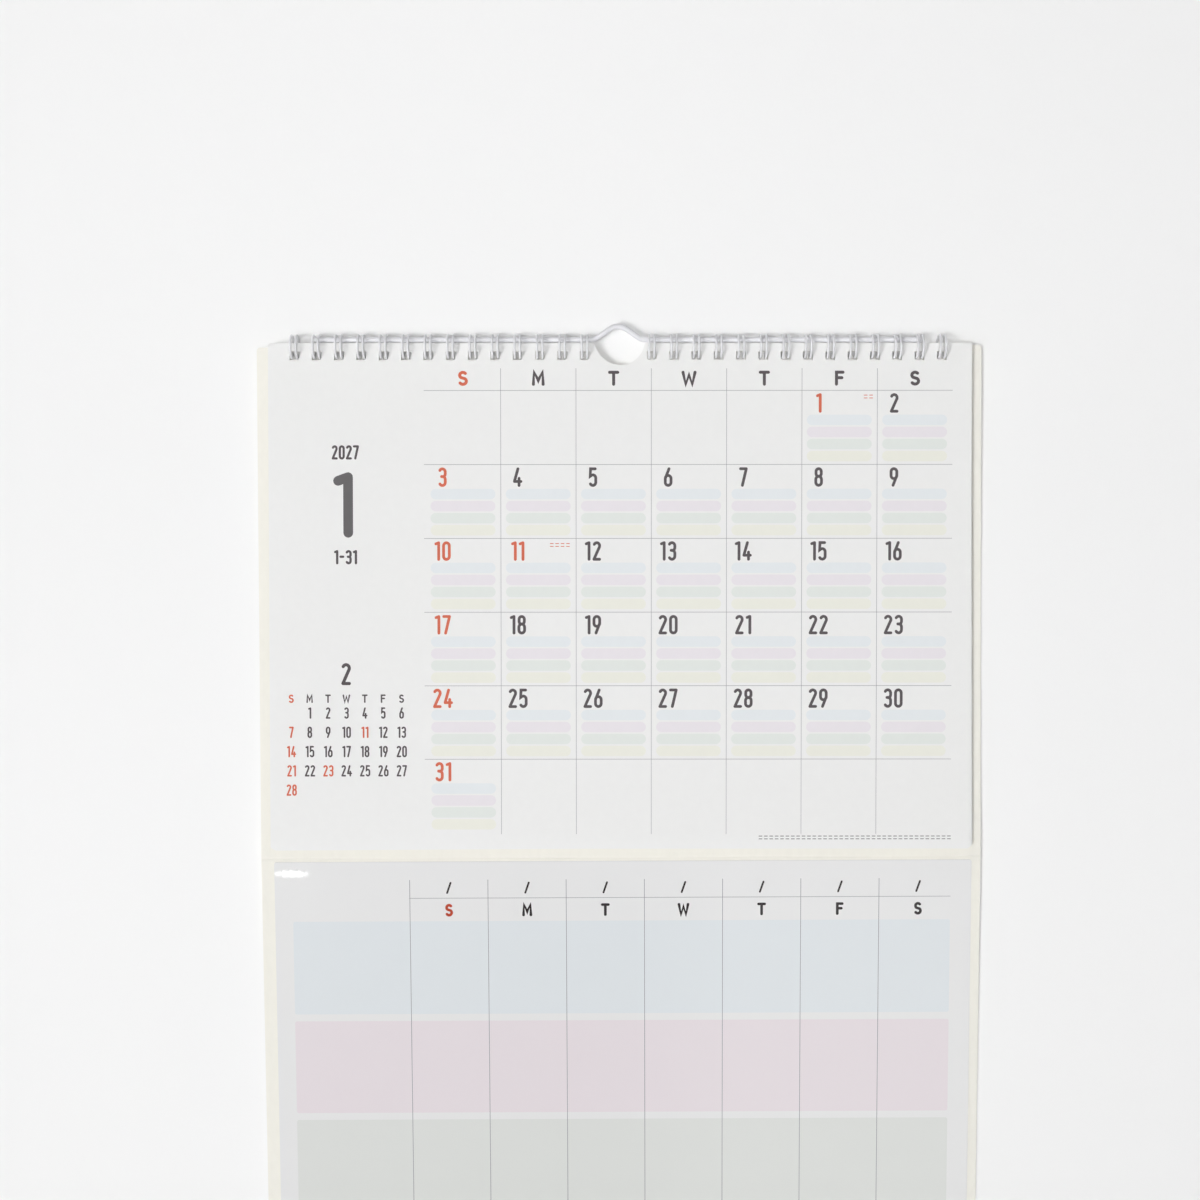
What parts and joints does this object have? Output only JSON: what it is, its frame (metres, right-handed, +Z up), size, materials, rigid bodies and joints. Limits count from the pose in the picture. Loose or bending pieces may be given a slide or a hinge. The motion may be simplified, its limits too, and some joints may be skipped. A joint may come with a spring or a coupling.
{
  "type": "whiteboard wall calendar",
  "caption": "Wire-bound wall calendar: month sheets that lift on twin loops, in front of a folded card whose lower panel carries a glossy whiteboard sheet.",
  "frame": {"origin": "the point inside the top of the hanger wire's arch, where the calendar bears on its hook", "axes": "+Z up, the printed front faces -Y and the wall is behind at +Y, +X to the right as seen from the front"},
  "size_m": [0.2772, 0.0104, 0.3996],
  "materials": {
    "card": "matt ivory card",
    "whiteboard": "glossy dry-wipe film on white paper",
    "sheets": "matt uncoated white paper",
    "binding_wire": "white coated steel wire, satin",
    "hanger_wire": "white coated steel wire, satin"
  },
  "bodies": {
    "backing": {"backing_card": "card", "whiteboard_sheet": "whiteboard", "left_wire_binding": "binding_wire", "right_wire_binding": "binding_wire", "hanger_wire": "hanger_wire"},
    "sheets": {"page_block": "sheets"}
  },
  "joints": [
    {"name": "sheets_lift", "type": "hinge", "parent": "backing", "child": "sheets", "pos_m": [0, 0, -0.00665], "axis": [-1, 0, 0], "range_deg": [0, 130]}
  ]
}
